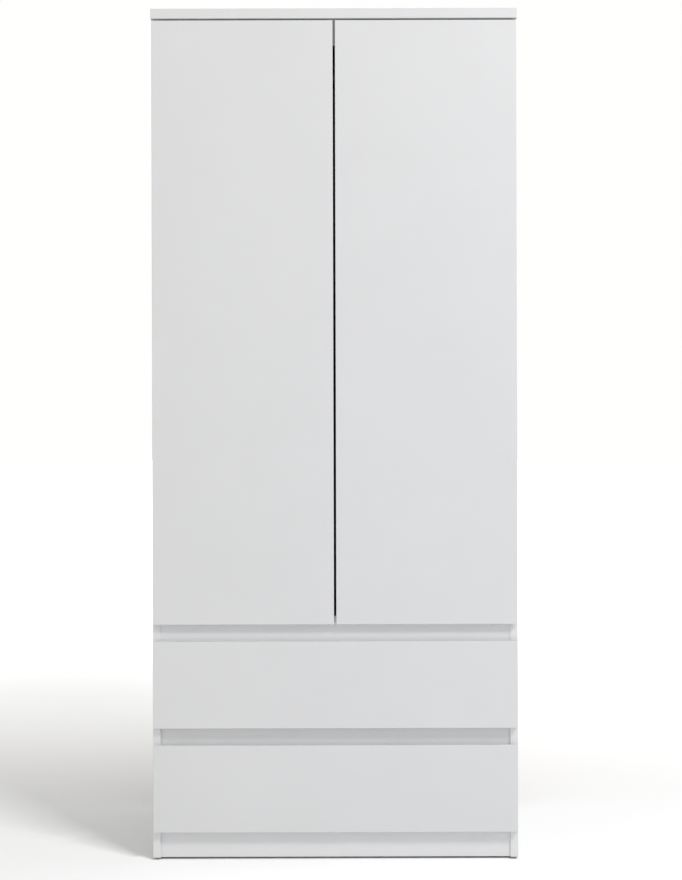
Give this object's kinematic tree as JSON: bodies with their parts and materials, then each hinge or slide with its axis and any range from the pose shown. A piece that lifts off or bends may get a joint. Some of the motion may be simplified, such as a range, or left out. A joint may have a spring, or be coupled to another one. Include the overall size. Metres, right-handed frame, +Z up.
{
  "type": "wardrobe with doors",
  "caption": "Free-standing white wardrobe with hinged doors over drawers, opened by finger gaps, with a hanging rail behind the doors.",
  "frame": {"origin": "on the floor, under the middle of the wardrobe", "axes": "+Z up, doors face -Y, +X to the right of a person facing the doors"},
  "size_m": [0.776, 0.5, 1.806],
  "materials": {
    "white_board": "white foil-faced particle board, satin",
    "front_board": "white foil-faced particle board, satin, edges banded",
    "drawer_board": "white paper-foiled particle board, matt",
    "hardboard": "hardboard, white lacquered on the face",
    "white_plastic": "white moulded plastic",
    "nylon": "white moulded nylon",
    "coated_steel": "white epoxy-coated steel sheet",
    "zinc_alloy": "die-cast zinc alloy, dull",
    "beech": "beech, turned and fluted, untreated",
    "chrome_steel": "chrome-plated steel, satin",
    "plated_steel": "nickel-plated steel, bright"
  },
  "bodies": {
    "carcass": {"left_side_panel": "white_board", "right_side_panel": "white_board", "top_panel": "white_board", "bottom_panel": "white_board", "fixed_shelf": "white_board", "plinth": "white_board", "upper_rail": "white_board", "middle_rail": "white_board", "front_top_rail": "white_board", "rear_top_rail": "white_board", "left_back_panel": "hardboard", "right_back_panel": "hardboard", "back_joint_strip": "white_plastic", "floor_glides": "white_plastic", "hanging_rail": "chrome_steel", "rail_sockets": "chrome_steel", "cabinet_runners": "coated_steel", "cabinet_roller_axles": "plated_steel", "hinge_mounting_plates": "plated_steel", "hinge_arms": "plated_steel", "hinge_arm_screws": "plated_steel", "euro_screws": "plated_steel", "carcass_cam_locks": "zinc_alloy", "carcass_cam_bolts": "plated_steel", "carcass_dowels": "beech", "back_panel_nails": "plated_steel"},
    "left_hinge_links": {"left_hinge_links": "plated_steel", "left_hinge_pins": "plated_steel"},
    "left_door": {"left_door": "front_board", "left_hinge_cups": "plated_steel", "left_cup_screws": "plated_steel"},
    "right_hinge_links": {"right_hinge_links": "plated_steel", "right_hinge_pins": "plated_steel"},
    "right_door": {"right_door": "front_board", "right_hinge_cups": "plated_steel", "right_cup_screws": "plated_steel"},
    "upper_drawer": {"upper_drawer_front": "front_board", "upper_drawer_left_side": "drawer_board", "upper_drawer_right_side": "drawer_board", "upper_drawer_back": "drawer_board", "upper_drawer_bottom": "hardboard", "upper_drawer_runners": "coated_steel", "upper_drawer_roller_axles": "plated_steel", "upper_drawer_cam_locks": "zinc_alloy", "upper_drawer_cam_bolts": "plated_steel", "upper_drawer_runner_screws": "plated_steel"},
    "upper_cabinet_rollers": {"upper_cabinet_rollers": "nylon"},
    "upper_drawer_rollers": {"upper_drawer_rollers": "nylon"},
    "lower_drawer": {"lower_drawer_front": "front_board", "lower_drawer_left_side": "drawer_board", "lower_drawer_right_side": "drawer_board", "lower_drawer_back": "drawer_board", "lower_drawer_bottom": "hardboard", "lower_drawer_runners": "coated_steel", "lower_drawer_roller_axles": "plated_steel", "lower_drawer_cam_locks": "zinc_alloy", "lower_drawer_cam_bolts": "plated_steel", "lower_drawer_runner_screws": "plated_steel"},
    "lower_cabinet_rollers": {"lower_cabinet_rollers": "nylon"},
    "lower_drawer_rollers": {"lower_drawer_rollers": "nylon"}
  },
  "joints": [
    {"name": "left_hinge_link_turn", "type": "hinge", "parent": "carcass", "child": "left_hinge_links", "pos_m": [-0.3545, -0.2315, 1.1415], "axis": [0, 0, -1], "range_deg": [-48, 0]},
    {"name": "left_door_open", "type": "hinge", "parent": "left_hinge_links", "child": "left_door", "pos_m": [-0.3752, -0.2382, 1.1415], "axis": [0, 0, -1], "range_deg": [0, 142.5]},
    {"name": "right_hinge_link_turn", "type": "hinge", "parent": "carcass", "child": "right_hinge_links", "pos_m": [0.3545, -0.2315, 1.1415], "axis": [0, 0, 1], "range_deg": [-48, 0]},
    {"name": "right_door_open", "type": "hinge", "parent": "right_hinge_links", "child": "right_door", "pos_m": [0.3752, -0.2382, 1.1415], "axis": [0, 0, 1], "range_deg": [0, 142.5]},
    {"name": "upper_drawer_slide", "type": "slide", "parent": "carcass", "child": "upper_drawer", "axis": [0, -1, 0], "range_m": [0, 0.34]},
    {"name": "upper_cabinet_roller_spin", "type": "hinge", "parent": "carcass", "child": "upper_cabinet_rollers", "pos_m": [0, -0.218, 0.3137], "axis": [1, 0, 0], "range_deg": [-5, 2400]},
    {"name": "upper_drawer_roller_spin", "type": "hinge", "parent": "upper_drawer", "child": "upper_drawer_rollers", "pos_m": [0, 0.206, 0.3111], "axis": [1, 0, 0], "range_deg": [-5, 2600]},
    {"name": "lower_drawer_slide", "type": "slide", "parent": "carcass", "child": "lower_drawer", "axis": [0, -1, 0], "range_m": [0, 0.34]},
    {"name": "lower_cabinet_roller_spin", "type": "hinge", "parent": "carcass", "child": "lower_cabinet_rollers", "pos_m": [0, -0.218, 0.0937], "axis": [1, 0, 0], "range_deg": [-5, 2400]},
    {"name": "lower_drawer_roller_spin", "type": "hinge", "parent": "lower_drawer", "child": "lower_drawer_rollers", "pos_m": [0, 0.206, 0.0911], "axis": [1, 0, 0], "range_deg": [-5, 2600]}
  ],
  "couplings": [
    {"joint": "left_hinge_link_turn", "follows": "left_door_open", "ratio": -0.33333},
    {"joint": "right_hinge_link_turn", "follows": "right_door_open", "ratio": -0.33333},
    {"joint": "upper_cabinet_roller_spin", "follows": "upper_drawer_slide", "rad_per_m": 117.65},
    {"joint": "upper_drawer_roller_spin", "follows": "upper_drawer_slide", "rad_per_m": 128.21},
    {"joint": "lower_cabinet_roller_spin", "follows": "lower_drawer_slide", "rad_per_m": 117.65},
    {"joint": "lower_drawer_roller_spin", "follows": "lower_drawer_slide", "rad_per_m": 128.21}
  ]
}
